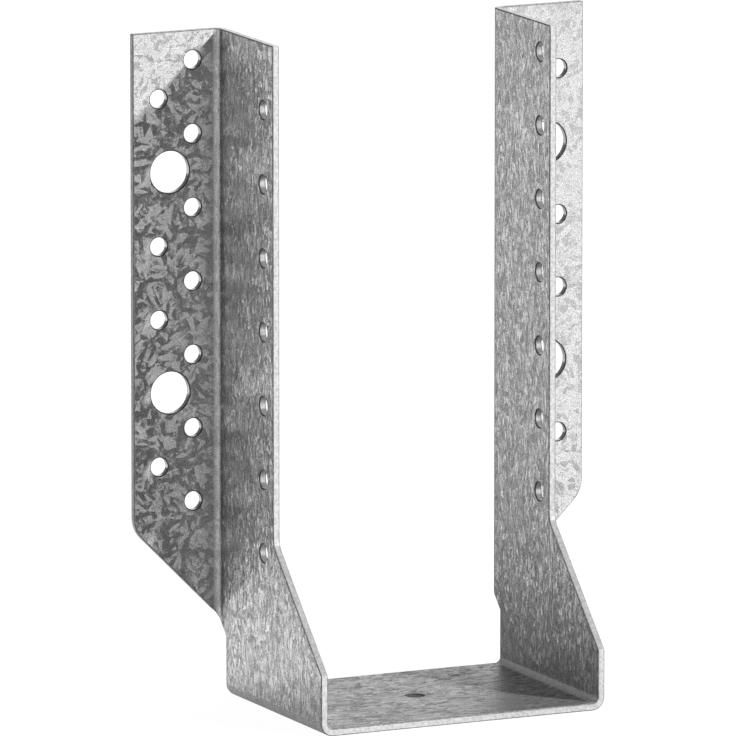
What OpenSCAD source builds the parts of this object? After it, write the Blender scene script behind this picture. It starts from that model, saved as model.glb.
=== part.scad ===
// Joist hanger folded from one strip of galvanised sheet steel.
// Lengths are in millimetres. +Z is up, and -Y is the front, where the joist comes in.
// The origin lies under the middle of the overall box, on the surface that the seat stands on.

/* [Sheet] */
// Thickness of the sheet
sheet_t = 2; // [1.5:0.1:3]
// Inside radius of every fold
fold_r = 1.5; // [1:0.1:3]
// Depth of the neutral line in a fold, as a share of the thickness
neutral_share = 0.4; // [0.33:0.01:0.5]
// Width of the strip that the hanger is folded from
strip_w = 60; // [54:1:80]

/* [Hanger] */
// Clear width between the cheeks, for the joist
joist_w = 80; // [50:1:140]
// Height from the underside of the seat to the top edge
hanger_h = 181.4; // [130:0.1:280]
// Width of a flange from the outer face of its cheek
flange_w = 25; // [23:0.5:30]
// Gap from the header to the back edge of the seat
seat_gap = 6.4; // [4:0.1:20]
// Height at which the stepped edges of the strip start to slope
strap_h = 16.5; // [10:0.5:25]
// Rise of the sloping edges for each millimetre across the strip
step_slope = 1; // [0.7:0.05:1.2]
// Radius where the slope runs into the front edge of a cheek
cheek_fillet_r = 5; // [1:0.5:12]
// Radius of the lower corner of a flange
flange_corner_r = 8; // [2:0.5:10]

/* [Nail holes] */
// Diameter of a nail hole
nail_d = 5; // [4:0.1:6]
// Distance between the rows
row_pitch = 20; // [16:1:30]
// First row, measured down from the top edge
first_row = 8; // [6:0.5:12]
// Height below which no full row is punched
lowest_row = 50; // [45:1:80]
// Inner column of a flange, from the outer face of its cheek
inner_col = 7.5; // [6:0.1:9]
// Outer column of a flange, from the outer face of its cheek
outer_col = 17.5; // [15:0.1:19]
// Column of a cheek, measured back from its front edge
cheek_col = 6.1; // [5:0.1:10]

/* [Bolt holes] */
// Diameter of a bolt hole
bolt_d = 11.4; // [9:0.1:13]
// Column of the bolt holes, from the outer face of the cheek
bolt_col = 14.2; // [13:0.1:16]
// Half rows from one bolt hole to the next
bolt_every = 3; // [2:1:4]

/* [Hidden] */
$fn = 96;

// Folds: outer radius, and the length of strip that a quarter turn takes up, to a hundredth
fold_out = fold_r + sheet_t;
neutral_r = fold_r + neutral_share * sheet_t;
fold_run = round(neutral_r * PI / 2 * 100) / 100;

// Widths from the middle of the hanger
cheek_x = joist_w / 2 + sheet_t;
fold_x = cheek_x + fold_r;
flange_x = cheek_x + flange_w;

// Depths in front of the header, which touches the backs of the flanges
cheek_front = strip_w - (flange_x - fold_x) - fold_run + fold_out;
seat_front = seat_gap + strip_w;

// Heights along the two sloping edges of the strip
cheek_slope_top = strap_h + (seat_front - cheek_front) * step_slope;
fold_low = strap_h + (seat_gap - fold_out) * step_slope;
fold_drop = fold_run * step_slope;
fold_high = fold_low + fold_drop;
flange_low = fold_high + (flange_x - fold_x) * step_slope;

// Open angle of the corner between a sloping edge and an upright one
step_angle = 90 + atan(step_slope);

nail_rows = floor((hanger_h - first_row - lowest_row) / row_pitch) + 1;
function row_z(row) = hanger_h - first_row - row * row_pitch;

// Length of a punch that goes right through the sheet
punch_l = 4 * sheet_t;

// Overlap with which the arc of a rounded corner crosses its two sides
arc_overlap = 0.001;

// Facets along the sloping edge that winds round a fold
wind_steps = 12;

// Upright outline with its two lower corners rounded
module round_bottom(width, height, radius) {
    translate([-width / 2, radius]) square([width, height - radius]);
    translate([radius - width / 2, 0]) square([width - 2 * radius, height]);
    for (side = [-1, 1]) translate([side * (width / 2 - radius), radius]) circle(radius);
}

// Area between a corner at the origin, open along +X, and the arc that is tangent to both its sides.
// It also covers some of the closed side of the corner.
module corner_web(radius, angle) {
    reach = radius / tan(angle / 2);
    difference() {
        polygon([
            [-radius, 0],
            reach * [cos(angle / 2), -sin(angle / 2)],
            reach * [cos(angle / 2), sin(angle / 2)]
        ]);
        translate([radius / sin(angle / 2), 0]) circle(radius + arc_overlap);
    }
}

// Section of the seat and cheeks, seen from the front
module channel_section() {
    difference() {
        round_bottom(2 * cheek_x, hanger_h, fold_out);
        translate([0, sheet_t]) round_bottom(joist_w, hanger_h, fold_r);
    }
}

// Outline of a cheek from its fold forward, seen from the side with the front towards +X
module cheek_outline() {
    polygon([
        [fold_out, hanger_h],
        [fold_out, fold_low],
        [seat_gap, strap_h],
        [seat_gap, 0],
        [seat_front, 0],
        [seat_front, strap_h],
        [cheek_front, cheek_slope_top],
        [cheek_front, hanger_h]
    ]);
    translate([cheek_front, cheek_slope_top])
        rotate(90 - step_angle / 2)
            corner_web(cheek_fillet_r, step_angle);
}

// Outline of the right flange beyond its fold, seen from the front
module flange_outline() {
    difference() {
        polygon([
            [fold_x, hanger_h],
            [fold_x, fold_high],
            [flange_x, flange_low],
            [flange_x, hanger_h]
        ]);
        translate([flange_x, flange_low])
            rotate(90 + step_angle / 2)
                corner_web(flange_corner_r, step_angle);
    }
}

// Quarter ring of the right flange's fold, seen from above, with the fold's axis at the origin
module fold_section() {
    intersection() {
        difference() {
            circle(fold_out);
            circle(fold_r);
        }
        translate([-fold_out, 0]) square(fold_out);
    }
}

// What lies below the sloping edge as it winds round the fold, from the cheek up to the flange
module fold_cut() {
    linear_extrude(height = fold_drop, twist = 90, slices = wind_steps, segments = 4)
        translate([-2 * fold_out, 0])
            square(2 * fold_out);
}

module right_flange() {
    rotate([90, 0, 0]) linear_extrude(sheet_t) flange_outline();
    translate([fold_x, -fold_out, fold_low])
        difference() {
            linear_extrude(hanger_h - fold_low) fold_section();
            fold_cut();
        }
}

module seat_and_cheeks() {
    intersection() {
        rotate([90, 0, 0]) linear_extrude(seat_front) channel_section();
        rotate([90, 0, -90]) linear_extrude(2 * flange_x, center = true) cheek_outline();
    }
}

module right_flange_holes() {
    for (row = [0 : nail_rows - 1]) flange_hole(inner_col, row, nail_d);
    for (row = [0 : nail_rows - 2]) {
        if (row % bolt_every == 1) flange_hole(bolt_col, row + 0.5, bolt_d);
        else flange_hole(outer_col, row + 0.5, nail_d);
    }
}

module flange_hole(column, row, diameter) {
    translate([cheek_x + column, 0, row_z(row)])
        rotate([90, 0, 0])
            cylinder(d = diameter, h = punch_l, center = true);
}

// The rows of the left cheek lie half a pitch lower than those of the right cheek
module cheek_holes() {
    for (row = [0 : nail_rows - 1]) {
        cheek_hole(cheek_x, row);
        cheek_hole(-cheek_x, row + 0.5);
    }
}

module cheek_hole(x, row) {
    translate([x, cheek_col - cheek_front, row_z(row)])
        rotate([0, 90, 0])
            cylinder(d = nail_d, h = punch_l, center = true);
}

module seat_hole() {
    translate([0, -(seat_gap + strip_w / 2), 0])
        cylinder(d = nail_d, h = punch_l, center = true);
}

module joist_hanger() {
    color("silver")
        translate([0, seat_front / 2, 0])
            difference() {
                union() {
                    seat_and_cheeks();
                    right_flange();
                    mirror([1, 0, 0]) right_flange();
                }
                right_flange_holes();
                mirror([1, 0, 0]) right_flange_holes();
                cheek_holes();
                seat_hole();
            }
}

joist_hanger();
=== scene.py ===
"""Joist hanger: one folded strip of galvanised steel on a white studio floor."""

from collections import namedtuple
from math import acos, ceil, cos, pi, radians, sin, tan

import bpy
import numpy as np
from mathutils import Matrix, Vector
from mathutils.geometry import delaunay_2d_cdt


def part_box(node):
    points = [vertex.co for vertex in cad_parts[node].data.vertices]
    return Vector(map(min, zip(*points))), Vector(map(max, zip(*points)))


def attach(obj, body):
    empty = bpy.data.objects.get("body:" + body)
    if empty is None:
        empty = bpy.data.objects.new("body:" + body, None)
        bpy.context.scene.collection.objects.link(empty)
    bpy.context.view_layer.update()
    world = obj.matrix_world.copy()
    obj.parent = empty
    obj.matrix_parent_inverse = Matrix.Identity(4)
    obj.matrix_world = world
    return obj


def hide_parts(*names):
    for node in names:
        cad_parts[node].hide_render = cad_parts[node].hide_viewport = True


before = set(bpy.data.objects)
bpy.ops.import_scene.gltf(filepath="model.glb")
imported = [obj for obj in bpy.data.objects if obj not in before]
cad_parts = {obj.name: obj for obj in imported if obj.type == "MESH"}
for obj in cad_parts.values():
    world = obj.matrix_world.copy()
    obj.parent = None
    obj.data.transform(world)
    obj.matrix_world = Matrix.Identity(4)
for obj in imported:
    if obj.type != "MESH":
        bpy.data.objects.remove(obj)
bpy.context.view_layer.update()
MM = 0.001

# Sizes in millimetres. The overall box comes from the frame, and the rest repeats the part's source.
lowest, highest = [np.array(corner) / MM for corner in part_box("joist_hanger")]
flange_x, header_y, hanger_h = highest
seat_front = header_y - lowest[1]
sheet_t = 2.0
fold_r = 1.5
neutral_share = 0.4
strip_w = 60.0
joist_w = 80.0
strap_h = 16.5
cheek_fillet_r = 5.0
flange_corner_r = 8.0
nail_d = 5.0
bolt_d = 11.4
first_row = 8.0
row_pitch = 20.0
nail_rows = 7
bolt_every = 3
inner_col = 7.5
outer_col = 17.5
bolt_col = 14.2
cheek_col = 6.1

# Wear of the punched edges: their rounding, and that of the corners that the punch leaves sharp
edge_r = 0.3
sharp_corner_r = 0.5

# Lines of the flat strip. Along it, 0 is the middle of the seat.
# Across it, 0 is where the header would be if the strip had no folds.
fold_out = fold_r + sheet_t
fold_run = round((fold_r + neutral_share * sheet_t) * pi / 2, 2)
seat_flat = joist_w / 2 - fold_r
cheek_start = seat_flat + fold_run
flange_start = fold_out - fold_run
cheek_x = joist_w / 2 + sheet_t
seat_back = seat_front - strip_w
flange_edge = flange_start - (flange_x - cheek_x - fold_r)
cheek_edge = flange_edge + strip_w

# Steps in which a fold, a rounded corner, a hole and a worn edge are drawn
FOLD_STEPS = 10
CORNER_STEP = radians(7.5)
HOLE_POINTS = 48
EDGE_STEPS = 3

# Points that lie closer together than this touch each other
TOUCHING = 1e-6

# Finishes of the sheet, by their place among its materials
ZINC, CUT, ROLLED, PUNCHED, RIM = range(5)

# Points on the edges of the strip: where they lie, the way out of the sheet, their loop and the next point
Edge = namedtuple("Edge", "points out loop_of after")

# Zones of the strip: 1 on a flange, on the seat or in a fold, otherwise 0, and the distance past the fold
Zones = namedtuple("Zones", "on_flange on_seat in_fold past_fold")

# Pattern of the zinc: colours of large and small crystals, a grain, and the value that picks a crystal's look
Pattern = namedtuple("Pattern", "large small grain crystals")


def along_at(height):
    """Place along the strip of a height on a cheek or flange."""
    return cheek_start + height - fold_out


def row_height(row):
    """Height of a row of holes, counted down from the top."""
    return hanger_h - first_row - row * row_pitch


def across_flange(column):
    """Place across the strip of a column of flange holes, measured from the outer face of the cheek."""
    return flange_start - (column - fold_r)


strip_end = along_at(hanger_h)
step_start = along_at(strap_h)
step_end = step_start + seat_front - cheek_edge

# Fold lines as pairs of an axis and a place: axis 0 is along the strip, axis 1 across it.
# The first is the middle of the seat.
fold_steps = [fold_run * k / FOLD_STEPS for k in range(FOLD_STEPS + 1)]
LINES = [(0, 0.0)]
LINES += [(0, side * (seat_flat + step)) for side in (-1, 1) for step in fold_steps]
LINES += [(1, fold_out - step) for step in fold_steps]


def unit(vector):
    return vector / abs(vector)


def rounded_outline(corners):
    """Closed outline from corners given as a point and a radius. Points are complex numbers."""
    spots = [spot for spot, radius in corners]
    points = []
    for i, (spot, radius) in enumerate(corners):
        back = unit(spots[i - 1] - spot)
        ahead = unit(spots[(i + 1) % len(spots)] - spot)
        half = acos((back * ahead.conjugate()).real) / 2
        centre = spot + unit(back + ahead) * radius / sin(half)
        start = spot + back * radius / tan(half) - centre
        turn = np.sign((-back.conjugate() * ahead).imag) * (pi - 2 * half)
        steps = ceil(abs(turn) / CORNER_STEP)
        points += [centre + start * np.exp(1j * turn * k / steps) for k in range(steps + 1)]
    return points


def split_at_folds(loop):
    """The loop with a point added wherever one of its edges crosses a fold line."""
    points = []
    for here, after in zip(loop, loop[1:] + loop[:1]):
        points.append(here)
        shares = []
        for axis, line in LINES:
            start = (here.real, here.imag)[axis]
            end = (after.real, after.imag)[axis]
            if min(start, end) < line < max(start, end):
                shares.append((line - start) / (end - start))
        points += [here + share * (after - here) for share in sorted(shares)]
    return points


def strip_outline():
    """Outline of the flat strip, clockwise: the seat in the middle, and on each side a slope and the end."""
    right = [
        (complex(step_start, seat_front), sharp_corner_r),
        (complex(step_end, cheek_edge), cheek_fillet_r),
        (complex(strip_end, cheek_edge), sharp_corner_r),
        (complex(strip_end, flange_edge), sharp_corner_r),
        (complex(step_end, flange_edge), flange_corner_r),
        (complex(step_start, seat_back), sharp_corner_r),
    ]
    left = [(-spot.conjugate(), radius) for spot, radius in reversed(right)]
    return split_at_folds(rounded_outline(right + left))


def strip_holes():
    """Holes of the flat strip, as middle and diameter. Those of the left cheek lie half a row lower."""
    holes = [(complex(0, seat_back + strip_w / 2), nail_d)]
    for side in (-1, 1):
        cheek_drop = 0 if side > 0 else 0.5
        for row in range(nail_rows):
            holes.append((complex(side * along_at(row_height(row)), across_flange(inner_col)), nail_d))
            cheek_along = side * along_at(row_height(row + cheek_drop))
            holes.append((complex(cheek_along, cheek_edge - cheek_col), nail_d))
        for row in range(nail_rows - 1):
            column, diameter = (bolt_col, bolt_d) if row % bolt_every == 1 else (outer_col, nail_d)
            holes.append((complex(side * along_at(row_height(row + 0.5)), across_flange(column)), diameter))
    return holes


def hole_loop(middle, diameter):
    return [middle + diameter / 2 * np.exp(2j * pi * k / HOLE_POINTS) for k in range(HOLE_POINTS)]


def way_out(loop):
    """Way out of the sheet at each point of a loop, longer at a corner so that an inset keeps its depth."""
    ahead = unit(np.roll(loop, -1) - loop) * 1j
    behind = np.roll(ahead, 1)
    return (ahead + behind) / (1 + (ahead * behind.conj()).real)


def strip_edge():
    """The points on the edges of the flat strip. Loop 0 is the outline, and the others are the holes."""
    loops = [np.array(loop) for loop in [strip_outline()] + [hole_loop(*hole) for hole in strip_holes()]]
    points = np.concatenate(loops)
    out = np.concatenate([way_out(loop) for loop in loops])
    loop_of = np.concatenate([np.full(len(loop), i) for i, loop in enumerate(loops)])
    starts = np.cumsum([0] + [len(loop) for loop in loops])
    after = np.arange(1, len(points) + 1)
    after[starts[1:] - 1] = starts[:-1]
    return Edge(points, out, loop_of, after.tolist())


def edge_profile():
    """Rings round a worn edge, from the joist side outwards: inset, depth, and the normal's two shares."""
    angles = [pi / 2 * k / EDGE_STEPS for k in range(EDGE_STEPS + 1)]
    near = [(edge_r * (1 - sin(a)), edge_r * (1 - cos(a)), sin(a), -cos(a)) for a in angles]
    far = [(inset, sheet_t - depth, out, -down) for inset, depth, out, down in reversed(near)]
    return near + far


def ring_points(edge, rings):
    """Points of the flat strip, ring by ring, and their normals."""
    points = []
    normals = []
    for inset, depth, sideways, down in rings:
        ring = edge.points - inset * edge.out
        points.append(np.column_stack((ring.real, ring.imag, np.full(len(ring), depth))))
        away = sideways * unit(edge.out)
        normals.append(np.column_stack((away.real, away.imag, np.full(len(ring), down))))
    return np.concatenate(points), np.concatenate(normals)


def folded(flat):
    """Where points of the flat strip end up. A row holds places along and across it, and the depth
    from the joist side."""
    along, across, depth = flat.T
    turn = np.clip((fold_out - across) / fold_run, 0, 1) * pi / 2
    radius = fold_out - depth
    out = fold_out - radius * np.cos(turn) + np.maximum(flange_start - across, 0)
    front = fold_out - radius * np.sin(turn) + np.maximum(across - fold_out, 0)
    run = np.abs(along)
    bend = np.clip((run - seat_flat) / fold_run, 0, 1) * pi / 2
    radius = fold_r + out
    x = np.minimum(run, seat_flat) + radius * np.sin(bend)
    z = fold_out - radius * np.cos(bend) + np.maximum(run - cheek_start, 0)
    return np.column_stack((np.sign(along) * x, header_y - front, z))


def folded_normals(flat, normals):
    """Normals of the folded sheet, from those of the flat one and the slopes of the folding."""
    step = 1e-3
    slopes = [(folded(flat + step * axis) - folded(flat - step * axis)) / (2 * step) for axis in np.eye(3)]
    turned = np.linalg.solve(np.stack(slopes, axis=1), normals[:, :, None])[:, :, 0]
    return turned / np.linalg.norm(turned, axis=1, keepdims=True)


def strip_triangles(edge):
    """Triangles of one face of the strip between its edges, with the fold lines among their sides."""
    sides = list(enumerate(edge.after))
    for axis, line in LINES:
        place = (edge.points.real, edge.points.imag)[axis]
        other = (edge.points.imag, edge.points.real)[axis]
        on_line = np.flatnonzero(np.abs(place - line) < TOUCHING)
        on_line = on_line[np.argsort(other[on_line])].tolist()
        sides += zip(on_line[0::2], on_line[1::2])
    points = [Vector((point.real, point.imag)) for point in edge.points - edge_r * edge.out]
    _, _, faces, sources, _, _ = delaunay_2d_cdt(points, sides, [], 1, TOUCHING)

    def lies_in_hole(triangle):
        loops = {edge.loop_of[corner] for corner in triangle}
        return len(loops) == 1 and 0 not in loops

    triangles = [[sources[corner][0] for corner in face] for face in faces]
    return [triangle for triangle in triangles if not lies_in_hole(triangle)]


def strip_faces(edge, ring_count):
    """Faces of the strip, the finish of each, and whether it lies on the side away from the joist."""
    count = len(edge.points)
    last = (ring_count - 1) * count
    triangles = strip_triangles(edge)
    faces = [triangle[::-1] for triangle in triangles]
    faces += [[last + corner for corner in triangle] for triangle in triangles]
    finishes = [ZINC] * len(faces)
    outer = [False] * len(triangles) + [True] * len(triangles)
    for ring in range(ring_count - 1):
        low = ring * count
        high = low + count
        for here, after in enumerate(edge.after):
            faces.append([low + here, high + here, high + after, low + after])
        on_outline, on_hole = (CUT, PUNCHED) if ring == EDGE_STEPS else (ROLLED, RIM)
        finishes += np.where(edge.loop_of == 0, on_outline, on_hole).tolist()
        outer += [ring > EDGE_STEPS] * count
    return faces, finishes, outer


def strip_middle(along):
    """Middle line of the strip, which steps from the seat over to the cheeks and flanges."""
    share = np.clip((np.abs(along) - step_start) / (step_end - step_start), 0, 1)
    return seat_front - strip_w / 2 - share * (seat_front - cheek_edge)


def bake_place(along, across, band):
    """Place in the square map for textures: four bands, one for each half of each face of the strip."""
    bands = 4
    margin = 2.5
    pitch = strip_w + 2 * margin
    up = band * pitch + pitch / 2 + across - strip_middle(along)
    return np.column_stack((margin + np.abs(along), up)) / (bands * pitch)


def bake_places(edge, rings, flat, faces, outer):
    """Place of each corner of the faces in the map for textures, with the worn edges spread out flat."""
    sizes = [len(face) for face in faces]
    corners = np.concatenate(faces)
    ring_of, point_of = np.divmod(corners, len(edge.points))
    insets, depths = np.array(rings).T[:2]
    lengths = np.concatenate(([0], np.cumsum(np.hypot(np.diff(insets), np.diff(depths)))))
    on_outer = np.repeat(outer, sizes)
    reach = np.where(on_outer, lengths[-1] - lengths[ring_of], lengths[ring_of])
    spread = (edge.points - edge_r * edge.out)[point_of] + reach * edge.out[point_of]
    first_corners = np.cumsum([0] + sizes[:-1])
    on_left = np.repeat(np.add.reduceat(flat[corners, 0], first_corners) < 0, sizes)
    return bake_place(spread.real, spread.imag, 2 * on_outer + on_left)


def add_map(mesh, name, places):
    """New map of a mesh, with a place for each corner of its faces."""
    layer = mesh.uv_layers.new(name=name)
    layer.uv.foreach_set("vector", places.astype(np.float32).ravel())


def joist_hanger():
    """The strip as a mesh, folded, with worn edges and with maps of the flat strip for its materials."""
    edge = strip_edge()
    rings = edge_profile()
    flat, normals = ring_points(edge, rings)
    faces, finishes, outer = strip_faces(edge, len(rings))
    mesh = bpy.data.meshes.new("hanger_strip")
    mesh.from_pydata((folded(flat) * MM).tolist(), [], faces, shade_flat=False)
    mesh.polygons.foreach_set("material_index", np.array(finishes, dtype=np.int32))
    mesh.normals_split_custom_set_from_vertices(folded_normals(flat, normals).tolist())
    add_map(mesh, "Strip", flat[np.concatenate(faces), :2])
    add_map(mesh, "OFBake", bake_places(edge, rings, flat, faces, outer))
    piece = bpy.data.objects.new("hanger_strip", mesh)
    bpy.context.scene.collection.objects.link(piece)
    return piece


def add_node(tree, kind, inputs=None, **settings):
    """New node with its settings made, and its inputs given as values or as sockets to link from."""
    new = tree.nodes.new(kind)
    for name, value in settings.items():
        setattr(new, name, value)
    for name, value in (inputs or {}).items():
        if isinstance(value, bpy.types.NodeSocket):
            tree.links.new(value, new.inputs[name])
        else:
            new.inputs[name].default_value = value
    return new


def math_node(tree, operation, first, second=0.0):
    return add_node(tree, "ShaderNodeMath", {0: first, 1: second}, operation=operation).outputs[0]


def vector_node(tree, operation, first, second=(0, 0, 0)):
    """Outputs of a calculation with vectors: Vector, or Value where the result is a number."""
    return add_node(tree, "ShaderNodeVectorMath", {0: first, 1: second}, operation=operation).outputs


def mix(tree, share, first, second):
    return add_node(tree, "ShaderNodeMix", {0: share, 2: first, 3: second}, data_type="FLOAT").outputs[0]


def mix_vectors(tree, share, first, second):
    return add_node(tree, "ShaderNodeMix", {0: share, 4: first, 5: second}, data_type="VECTOR").outputs[1]


def axes(tree, vector):
    return add_node(tree, "ShaderNodeSeparateXYZ", {0: vector}).outputs


def channel(tree, colour, name):
    return add_node(tree, "ShaderNodeSeparateColor", {"Color": colour}).outputs[name]


def from_half(tree, value):
    """How far a value that runs from 0 to 1 lies above a half."""
    return math_node(tree, "SUBTRACT", value, 0.5)


def ramp(tree, value, stops):
    """Grey ramp through stops given as a place and a grey."""
    new = add_node(tree, "ShaderNodeValToRGB", {"Fac": value})
    elements = new.color_ramp.elements
    while len(elements) < len(stops):
        elements.new(1.0)
    for element, (place, grey) in zip(elements, stops):
        element.position = place
        element.color = (grey, grey, grey, 1)
    return new.outputs["Color"]


def weighted_sum(tree, parts):
    """Sum of values, each times its weight."""
    total = 0.0
    for value, weight in parts:
        total = math_node(tree, "ADD", math_node(tree, "MULTIPLY", value, weight), total)
    return total


def within(tree, value, middle, reach):
    """1 where the value lies within a reach of the middle, otherwise 0."""
    distance = math_node(tree, "ABSOLUTE", math_node(tree, "SUBTRACT", value, middle))
    return math_node(tree, "LESS_THAN", distance, reach)


def new_material(name):
    """Empty node material, with its tree and the shader that its surface shows."""
    material = bpy.data.materials.new(name)
    material.use_nodes = True
    tree = material.node_tree
    tree.nodes.clear()
    shader = add_node(tree, "ShaderNodeBsdfPrincipled")
    add_node(tree, "ShaderNodeOutputMaterial", {"Surface": shader.outputs[0]})
    return material, tree, shader


def strip_place(tree):
    """Place on the flat strip, in millimetres along and across it."""
    return add_node(tree, "ShaderNodeUVMap", uv_map="Strip").outputs["UV"]


def stretched_noise(tree, place, along, across, detail, roughness):
    """Noise with grains that are along and across millimetres long, on the flat strip."""
    scaled = vector_node(tree, "MULTIPLY", place, (1 / along, 1 / across, 1))["Vector"]
    return add_node(tree, "ShaderNodeTexNoise",
                    {"Vector": scaled, "Scale": 1.0, "Detail": detail, "Roughness": roughness},
                    noise_dimensions="2D").outputs


def solid_noise(tree, grains_per_mm):
    """Noise in space, for the cut faces, which the map of the flat strip shows edge on."""
    place = add_node(tree, "ShaderNodeTexCoord").outputs["Object"]
    return add_node(tree, "ShaderNodeTexNoise",
                    {"Vector": place, "Scale": grains_per_mm / MM, "Detail": 3.0}).outputs


def random_cells(tree, place, scale):
    """Random colour for each cell of a plane pattern."""
    cells = add_node(tree, "ShaderNodeTexVoronoi", {"Vector": place, "Scale": scale}, voronoi_dimensions="2D")
    return cells.outputs["Color"]


def zinc_crystals(tree, place, size):
    """Random colour for each zinc crystal: slender ones that lie the same way within a patch, as in frost."""
    patches = random_cells(tree, place, 0.35 / size)
    angle = math_node(tree, "MULTIPLY", channel(tree, patches, "Green"), 2 * pi)
    turned = add_node(tree, "ShaderNodeVectorRotate", {"Vector": place, "Angle": angle},
                      rotation_type="Z_AXIS")
    slender = (0.63 / size, 1.42 / size, 1)
    return random_cells(tree, vector_node(tree, "MULTIPLY", turned.outputs[0], slender)["Vector"], 1.0)


def tilted_normal(tree, parts, share=1.0):
    """The surface's normal, tilted by a share of colours that are random directions, each with its weight."""
    upright = 0.3
    normal = add_node(tree, "ShaderNodeNewGeometry").outputs["Normal"]
    for colour, weight in parts:
        way = vector_node(tree, "SUBTRACT", colour, (0.5, 0.5, 0.5))["Vector"]
        lean = vector_node(tree, "MULTIPLY", way, (weight, weight, upright * weight))["Vector"]
        lean = add_node(tree, "ShaderNodeVectorMath", {0: lean, "Scale": share}, operation="SCALE").outputs[0]
        normal = vector_node(tree, "ADD", normal, lean)["Vector"]
    return vector_node(tree, "NORMALIZE", normal)["Vector"]


def away_from_joist(tree):
    """1 on the faces of the cheeks that look away from the joist, otherwise 0."""
    spot = add_node(tree, "ShaderNodeTexCoord").outputs
    x = axes(tree, spot["Object"])["X"]
    x_normal = axes(tree, spot["Normal"])["X"]
    return math_node(tree, "GREATER_THAN", math_node(tree, "MULTIPLY", x, x_normal), 0.0)


def strip_zones(tree, place):
    """Zones of the strip. The distance past the fold runs forward from the flange fold, in centimetres."""
    spot = axes(tree, place)
    from_middle = math_node(tree, "ABSOLUTE", spot["X"])
    flange_fold = (fold_out + flange_start) / 2
    seat_fold = (seat_flat + cheek_start) / 2
    in_flange_fold = within(tree, spot["Y"], flange_fold, fold_run / 2)
    in_seat_fold = within(tree, from_middle, seat_fold, fold_run / 2)
    forward = math_node(tree, "SUBTRACT", spot["Y"], fold_out)
    return Zones(
        on_flange=math_node(tree, "LESS_THAN", spot["Y"], flange_fold),
        on_seat=math_node(tree, "LESS_THAN", from_middle, seat_fold),
        in_fold=math_node(tree, "MAXIMUM", in_flange_fold, in_seat_fold),
        past_fold=math_node(tree, "MULTIPLY", forward, 0.1),
    )


def zinc_pattern(tree, place, zones):
    """Pattern of the zinc. On the cheeks and seat the crystals are drawn out along the strip."""
    on_cheek = (1.0, 2.7, 1)
    on_seat = (0.7, 2.0, 1)
    on_flange = (1.1, 1.1, 1)
    drawn_out = mix_vectors(tree, zones.on_seat, on_cheek, on_seat)
    drawn = mix_vectors(tree, zones.on_flange, drawn_out, on_flange)
    laid = vector_node(tree, "MULTIPLY", place, drawn)["Vector"]
    large = zinc_crystals(tree, laid, size=1.9)
    small = zinc_crystals(tree, laid, size=0.9)
    clusters = stretched_noise(tree, laid, along=9.0, across=9.0, detail=2.0, roughness=0.5)["Fac"]
    frost = stretched_noise(tree, laid, along=1.0, across=1.0, detail=3.0, roughness=0.65)["Fac"]
    grain = stretched_noise(tree, place, along=0.4, across=0.35, detail=2.0, roughness=0.6)
    large_weight = mix(tree, zones.on_flange, 0.42, 0.48)
    small_weight = mix(tree, zones.on_flange, 0.28, 0.22)
    crystals = weighted_sum(tree, [
        (channel(tree, large, "Red"), large_weight),
        (channel(tree, small, "Red"), small_weight),
        (clusters, 0.3),
        (grain["Fac"], 0.1),
        (from_half(tree, frost), 0.35),
    ])
    return Pattern(large, small, grain, crystals)


def painted_fold_shade(tree, zones, pattern):
    """Painted shade: a ragged dark line beside a flange fold, outside on the cheek, where the concave corner
    lies in shade.
    """
    ragged = channel(tree, pattern.small, "Green")
    place = weighted_sum(tree, [(zones.past_fold, 1.0), (pattern.grain["Fac"], 0.3), (ragged, 0.1)])
    # Painted shade: darkest just past the fold, fading out further along the cheek
    painted_shade_line = ramp(tree, place, [(0.17, 1.0), (0.19, 0.12), (0.26, 0.5), (0.64, 1.0)])
    return mix(tree, away_from_joist(tree), 1.0, painted_shade_line)


def galvanised_zinc():
    """Zinc coat of matt and of bright crystals, with a finish for the flanges, cheeks, seat and folds."""
    material, tree, shader = new_material("galvanised_zinc")
    place = strip_place(tree)
    zones = strip_zones(tree, place)
    pattern = zinc_pattern(tree, place, zones)
    fold_share = math_node(tree, "MULTIPLY", zones.in_fold, 0.7)

    def finish(flange, cheek, seat, fold):
        on_cheek = ramp(tree, pattern.crystals, cheek)
        value = mix(tree, zones.on_seat, on_cheek, ramp(tree, pattern.crystals, seat))
        value = mix(tree, zones.on_flange, value, ramp(tree, pattern.crystals, flange))
        return mix(tree, fold_share, value, fold)

    colour = finish(flange=[(0.36, 0.66), (0.42, 0.76), (0.54, 0.76), (0.66, 0.71)],
                    cheek=[(0.36, 0.48), (0.42, 0.61), (0.62, 0.65), (0.68, 0.85)],
                    seat=[(0.36, 0.27), (0.47, 0.53), (0.57, 0.60), (0.67, 0.94)],
                    fold=0.75)
    metal = finish(flange=[(0.51, 0.02), (0.53, 0.22), (0.59, 0.25),
                           (0.61, 0.55), (0.66, 0.58), (0.68, 0.85)],
                   cheek=[(0.36, 0.65), (0.40, 0.75), (0.68, 0.9)],
                   seat=[(0.38, 0.6), (0.68, 0.85)],
                   fold=0.6)
    rough = finish(flange=[(0.47, 0.55), (0.65, 0.3)],
                   cheek=[(0.36, 0.42), (0.68, 0.32)],
                   seat=[(0.36, 0.38), (0.68, 0.28)],
                   fold=0.7)

    speckled = weighted_sum(tree, [(colour, 1.0), (from_half(tree, pattern.grain["Fac"]), 1.1)])
    # The colour is darkened by painted shade beside the flange folds
    with_painted_fold_shade = math_node(tree, "MULTIPLY", speckled, painted_fold_shade(tree, zones, pattern))
    tilt = math_node(tree, "MULTIPLY", metal, mix(tree, zones.on_flange, 0.8, 1.0))
    leaning = [(pattern.large, 0.45), (pattern.small, 0.35), (pattern.grain["Color"], 0.6)]
    tree.links.new(with_painted_fold_shade, shader.inputs["Base Color"])
    tree.links.new(metal, shader.inputs["Metallic"])
    tree.links.new(rough, shader.inputs["Roughness"])
    tree.links.new(tilted_normal(tree, leaning, tilt), shader.inputs["Normal"])
    shader.inputs["Specular IOR Level"].default_value = 0.3
    shader.inputs["Specular Tint"].default_value = (0.35, 0.35, 0.35, 1)
    return material


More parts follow.
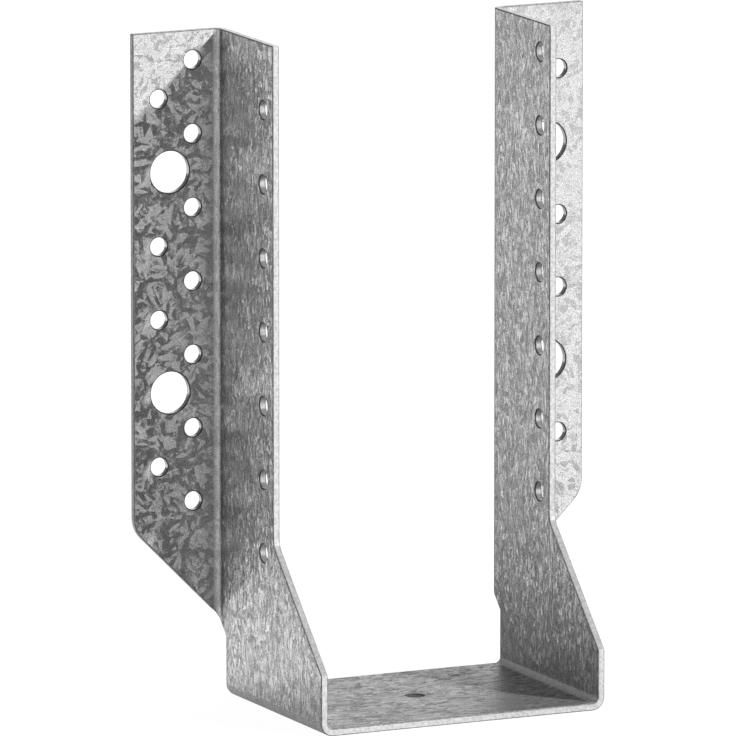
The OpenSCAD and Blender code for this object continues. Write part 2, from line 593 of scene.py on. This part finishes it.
def cut_edge():
    """Bare steel along the outline, mottled from the shearing, and darker on the slopes."""
    material, tree, shader = new_material("cut_edge")
    marks = solid_noise(tree, grains_per_mm=1.2)
    along = math_node(tree, "ABSOLUTE", axes(tree, strip_place(tree))["X"])
    on_slope = within(tree, along, (step_start + step_end) / 2, (step_end - step_start) / 2)
    bright = ramp(tree, marks["Fac"], [(0.35, 0.68), (0.65, 0.92)])
    darker_on_slopes = math_node(tree, "MULTIPLY", bright, mix(tree, on_slope, 1.0, 0.68))
    tree.links.new(darker_on_slopes, shader.inputs["Base Color"])
    tree.links.new(ramp(tree, marks["Fac"], [(0.3, 0.6), (0.7, 0.42)]), shader.inputs["Roughness"])
    tree.links.new(tilted_normal(tree, [(marks["Color"], 0.2)]), shader.inputs["Normal"])
    shader.inputs["Metallic"].default_value = 0.3
    shader.inputs["Specular IOR Level"].default_value = 0.3
    return material


def edge_roll_painted_dark(name, darkest, lightest):
    """Zinc that the punch has drawn over a rounded edge, made dull, and darker than the faces: painted shade
    that draws a dark line along the edge.
    """
    material, tree, shader = new_material(name)
    marks = stretched_noise(tree, strip_place(tree), along=1.2, across=1.2, detail=3.0, roughness=0.6)
    tree.links.new(ramp(tree, marks["Fac"], [(0.35, darkest), (0.65, lightest)]), shader.inputs["Base Color"])
    tree.links.new(ramp(tree, marks["Fac"], [(0.35, 0.6), (0.65, 0.45)]), shader.inputs["Roughness"])
    shader.inputs["Metallic"].default_value = 0.3
    shader.inputs["Specular IOR Level"].default_value = 0.3
    return material


def punched_wall():
    """Steel inside the holes, smoothed by the punch so that it mirrors a bright band."""
    material, tree, shader = new_material("punched_wall")
    marks = solid_noise(tree, grains_per_mm=1.0)
    tree.links.new(ramp(tree, marks["Fac"], [(0.35, 0.55), (0.65, 0.75)]), shader.inputs["Base Color"])
    tree.links.new(ramp(tree, marks["Fac"], [(0.35, 0.28), (0.65, 0.2)]), shader.inputs["Roughness"])
    tree.links.new(tilted_normal(tree, [(marks["Color"], 0.08)]), shader.inputs["Normal"])
    shader.inputs["Metallic"].default_value = 0.9
    return material


def white_where_seen(tree, in_view, in_mirrors, as_light):
    """Strength of a white that the camera sees, that metal and glass show, and that lights the object."""
    path = add_node(tree, "ShaderNodeLightPath").outputs
    mirrored = math_node(tree, "MAXIMUM", path["Is Glossy Ray"], path["Is Transmission Ray"])
    level = mix(tree, mirrored, as_light, in_mirrors)
    return mix(tree, path["Is Camera Ray"], level, in_view)


def mirrored_floor(tree):
    """Level of the floor in the metal, with painted reflections: painted shade that darkens it towards the
    hanger, a painted bright patch behind on the left, and painted light that makes it lighter on the left.
    Distances are in metres."""
    spot = add_node(tree, "ShaderNodeTexCoord").outputs["Object"]
    distance = vector_node(tree, "LENGTH", spot)["Value"]
    # Painted shade: in the metal the floor grows darker towards the hanger
    painted_shade_near_hanger = ramp(tree, distance, [(0.1, 0.1), (0.25, 0.48), (0.5, 0.62)])
    # Painted light: a bright patch on the floor behind on the left, which only the metal shows
    painted_patch_spot = (-100 * MM, 80 * MM, 0)
    from_painted_patch = vector_node(tree, "DISTANCE", spot, painted_patch_spot)["Value"]
    painted_bright_patch = ramp(tree, from_painted_patch, [(0.05, 0.7), (0.085, 0.0)])
    # Painted light: in the metal the floor is lighter on the left
    leftwards = (-10, -4.8, 0)
    left_share = vector_node(tree, "DOT_PRODUCT", spot, leftwards)["Value"]
    left = ramp(tree, left_share, [(0.0, 0.0), (0.3, 0.4)])
    return weighted_sum(tree, [(painted_shade_near_hanger, 1.0), (painted_bright_patch, 1.0), (left, 1.0)])


def add_floor():
    """White floor, a hair below the hanger."""
    reach = 6.0
    gap = 0.05 * MM
    corners = [(-reach, -reach, 0), (reach, -reach, 0), (reach, reach, 0), (-reach, reach, 0)]
    mesh = bpy.data.meshes.new("floor")
    mesh.from_pydata(corners, [], [(0, 1, 2, 3)])
    floor = bpy.data.objects.new("floor", mesh)
    floor.location.z = -gap
    bpy.context.scene.collection.objects.link(floor)
    material, tree, shader = new_material("white_floor")
    # What the metal shows of the floor holds painted shade and painted light
    strength = white_where_seen(tree, in_view=0.95, in_mirrors=mirrored_floor(tree), as_light=0.0)
    tree.links.new(strength, shader.inputs["Emission Strength"])
    shader.inputs["Emission Color"].default_value = (1, 1, 1, 1)
    shader.inputs["Base Color"].default_value = (0.12, 0.12, 0.12, 1)
    shader.inputs["Roughness"].default_value = 0.9
    mesh.materials.append(material)


def add_world():
    """White surroundings, of which only a part lights the object. The metal shows them with painted dark
    reflections: a dark patch behind on the left and darker surroundings overhead."""
    world = bpy.data.worlds.new("studio")
    bpy.context.scene.world = world
    world.use_nodes = True
    tree = world.node_tree
    tree.nodes.clear()
    direction = add_node(tree, "ShaderNodeTexCoord").outputs["Generated"]
    way = axes(tree, direction)
    fill = ramp(tree, way["Y"], [(0.0, 0.04), (0.6, 0.35)])
    # Painted dark reflection: a dark patch behind on the left, which only the metal shows
    painted_patch_way = Vector((-0.42, 0.89, 0.25)).normalized()
    near_painted_patch = vector_node(tree, "DOT_PRODUCT", direction, painted_patch_way)["Value"]
    painted_dark_patch = ramp(tree, near_painted_patch, [(0.75, 1.0), (0.88, 0.15)])
    # Painted dark reflection: darker overhead, which only the metal shows
    painted_dark_overhead = ramp(tree, way["Z"], [(0.5, 1.0), (0.7, 0.3)])
    in_mirrors = math_node(tree, "MULTIPLY", painted_dark_patch, painted_dark_overhead)
    strength = white_where_seen(tree, in_view=1.0, in_mirrors=in_mirrors, as_light=fill)
    background = add_node(tree, "ShaderNodeBackground", {"Color": (1, 1, 1, 1), "Strength": strength})
    add_node(tree, "ShaderNodeOutputWorld", {"Surface": background.outputs[0]})


def add_key_light():
    """One lamp in front, to the right and above. The left cheek casts its shadow on the flange behind it."""
    lamp = bpy.data.lights.new("key", "SUN")
    lamp.energy = 4.4
    lamp.angle = radians(3.0)
    key = bpy.data.objects.new("key", lamp)
    towards_lamp = Vector((0.756, -1.0, 0.722))
    key.rotation_euler = towards_lamp.to_track_quat("Z", "Y").to_euler()
    key.visible_glossy = False
    bpy.context.scene.collection.objects.link(key)


def add_camera():
    """Camera at the photograph's place: far away, a little to the left and a little above."""
    azimuth = radians(-25.4954)
    elevation = radians(10.4644)
    aim = Vector((-8.86, 7.49, 90.34)) * MM
    distance = 3775.39 * MM
    data = bpy.data.cameras.new("camera")
    data.sensor_width = 36.0
    data.lens = 689.3
    camera = bpy.data.objects.new("camera", data)
    back = Vector((sin(azimuth) * cos(elevation), -cos(azimuth) * cos(elevation), sin(elevation)))
    camera.location = aim + distance * back
    camera.rotation_euler = back.to_track_quat("Z", "Y").to_euler()
    bpy.context.scene.collection.objects.link(camera)
    bpy.context.scene.camera = camera


bpy.context.scene.view_settings.view_transform = "Standard"
add_camera()
add_world()
add_key_light()
add_floor()

# The materials follow the order of the finishes
hanger = joist_hanger()
hanger.data.materials.append(galvanised_zinc())
hanger.data.materials.append(cut_edge())
# Painted shade: a dark line along the worn edges of the outline
hanger.data.materials.append(edge_roll_painted_dark("edge_roll_painted_dark", darkest=0.25, lightest=0.42))
hanger.data.materials.append(punched_wall())
# Painted shade: a near-black line round the rims of the holes
hanger.data.materials.append(edge_roll_painted_dark("hole_rim_painted_dark", darkest=0.05, lightest=0.12))
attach(hanger, "root")
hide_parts("joist_hanger")
